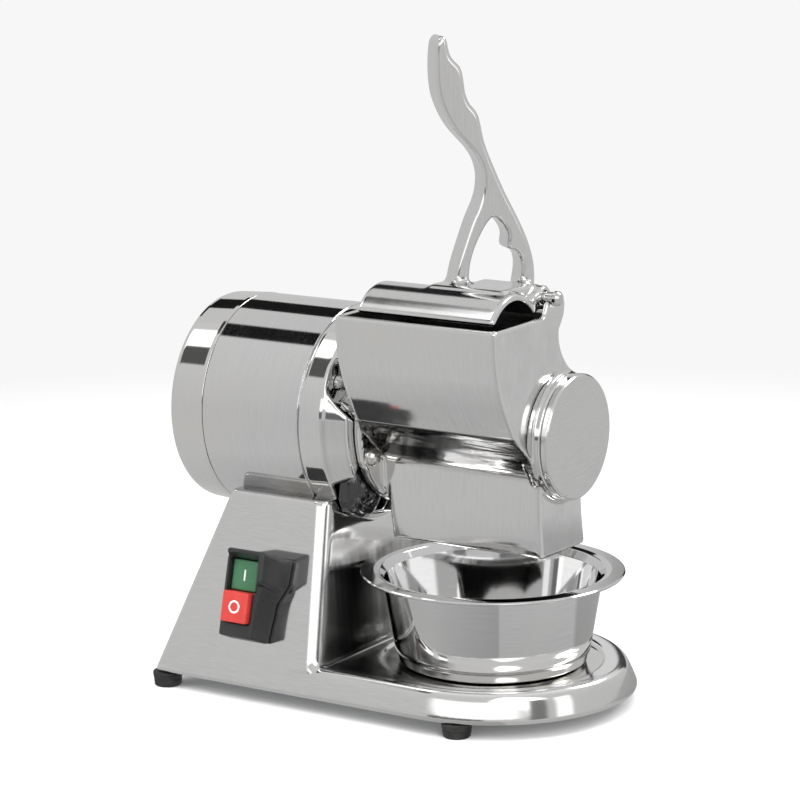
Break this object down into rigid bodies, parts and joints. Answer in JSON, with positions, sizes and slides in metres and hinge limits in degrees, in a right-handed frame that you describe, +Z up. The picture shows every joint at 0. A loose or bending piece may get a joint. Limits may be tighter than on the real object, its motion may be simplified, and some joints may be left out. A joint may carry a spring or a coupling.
{
  "type": "shaved ice machine",
  "caption": "Tabletop ice shaver: bell-shaped base, horizontal motor, cast grating head with hinged press lever over a hopper, discharge chute, and loose round bowl.",
  "frame": {"origin": "centre of the footprint, on the plane of the rubber feet", "axes": "+X along the motor shaft towards the head and bowl, -Y towards the side with the switch, +Z up"},
  "size_m": [0.306, 0.203, 0.431],
  "materials": {
    "cast_aluminium": "mirror polished",
    "base_aluminium": "mirror polished",
    "polished_steel": "mirror polished",
    "bowl_steel": "mirror polished",
    "turned_steel": "turned",
    "bearing_steel": "ground",
    "zinc_steel": "zinc plated",
    "drum_steel": "satin",
    "lamination_steel": "oiled laminations",
    "winding_copper": "enamelled copper wire",
    "switch_black": "satin moulded",
    "gland_black": "moulded",
    "button_green": "satin",
    "button_red": "satin",
    "knob_black": "glossy",
    "foot_rubber": "matt",
    "seal_rubber": "matt",
    "block_grey": "moulded",
    "capacitor_white": "moulded",
    "terminal_nylon": "natural nylon"
  },
  "bodies": {
    "chassis": {"base_casting": "base_aluminium", "bottom_plate": "zinc_steel", "foot_1": "foot_rubber", "foot_2": "foot_rubber", "foot_3": "foot_rubber", "foot_4": "foot_rubber", "motor_shell": "polished_steel", "motor_rear_cap": "cast_aluminium", "motor_front_flange": "cast_aluminium", "stator_core": "lamination_steel", "winding_front": "winding_copper", "winding_rear": "winding_copper", "front_bearing": "bearing_steel", "rear_bearing": "bearing_steel", "shaft_seal": "seal_rubber", "head_casting": "cast_aluminium", "head_bolt_1": "zinc_steel", "head_bolt_2": "zinc_steel", "head_bolt_3": "zinc_steel", "flange_screw_1": "zinc_steel", "flange_screw_2": "zinc_steel", "flange_screw_3": "zinc_steel", "hinge_pin": "turned_steel", "lock_stud": "zinc_steel", "switch_housing": "switch_black", "switch_block": "block_grey", "run_capacitor": "capacitor_white", "terminal_block": "terminal_nylon", "cable_gland": "gland_black"},
    "drum_train": {"motor_shaft": "turned_steel", "rotor_core": "lamination_steel", "grating_drum": "drum_steel", "drum_nut": "zinc_steel"},
    "press": {"press_lever": "cast_aluminium"},
    "cap": {"front_cap": "cast_aluminium"},
    "knob": {"lock_knob": "knob_black"},
    "bowl_body": {"bowl": "bowl_steel"},
    "start": {"start_button": "button_green"},
    "stop": {"stop_button": "button_red"}
  },
  "joints": [
    {"name": "drum_spin", "type": "hinge", "parent": "chassis", "child": "drum_train", "pos_m": [0.05201, 0.00558, 0.1794], "axis": [1, 0, 0], "continuous": true},
    {"name": "press_swing", "type": "hinge", "parent": "chassis", "child": "press", "pos_m": [0.08501, -0.00742, 0.2684], "axis": [1, 0, 0], "range_deg": [-45, 50]},
    {"name": "front_cap_pull", "type": "slide", "parent": "chassis", "child": "cap", "axis": [1, 0, 0], "range_m": [0, 0.06]},
    {"name": "knob_turn", "type": "hinge", "parent": "chassis", "child": "knob", "pos_m": [-0.01799, -0.02902, 0.137], "axis": [1, 0, 0], "range_deg": [-180, 180]},
    {"name": "bowl_lift", "type": "slide", "parent": "chassis", "child": "bowl_body", "axis": [0, 0, 1], "range_m": [0, 0.015]},
    {"name": "start_press", "type": "slide", "parent": "chassis", "child": "start", "axis": [0, 0.9719, -0.2353], "range_m": [0, 0.0035]},
    {"name": "stop_press", "type": "slide", "parent": "chassis", "child": "stop", "axis": [0, 0.9719, -0.2353], "range_m": [0, 0.0035]}
  ]
}
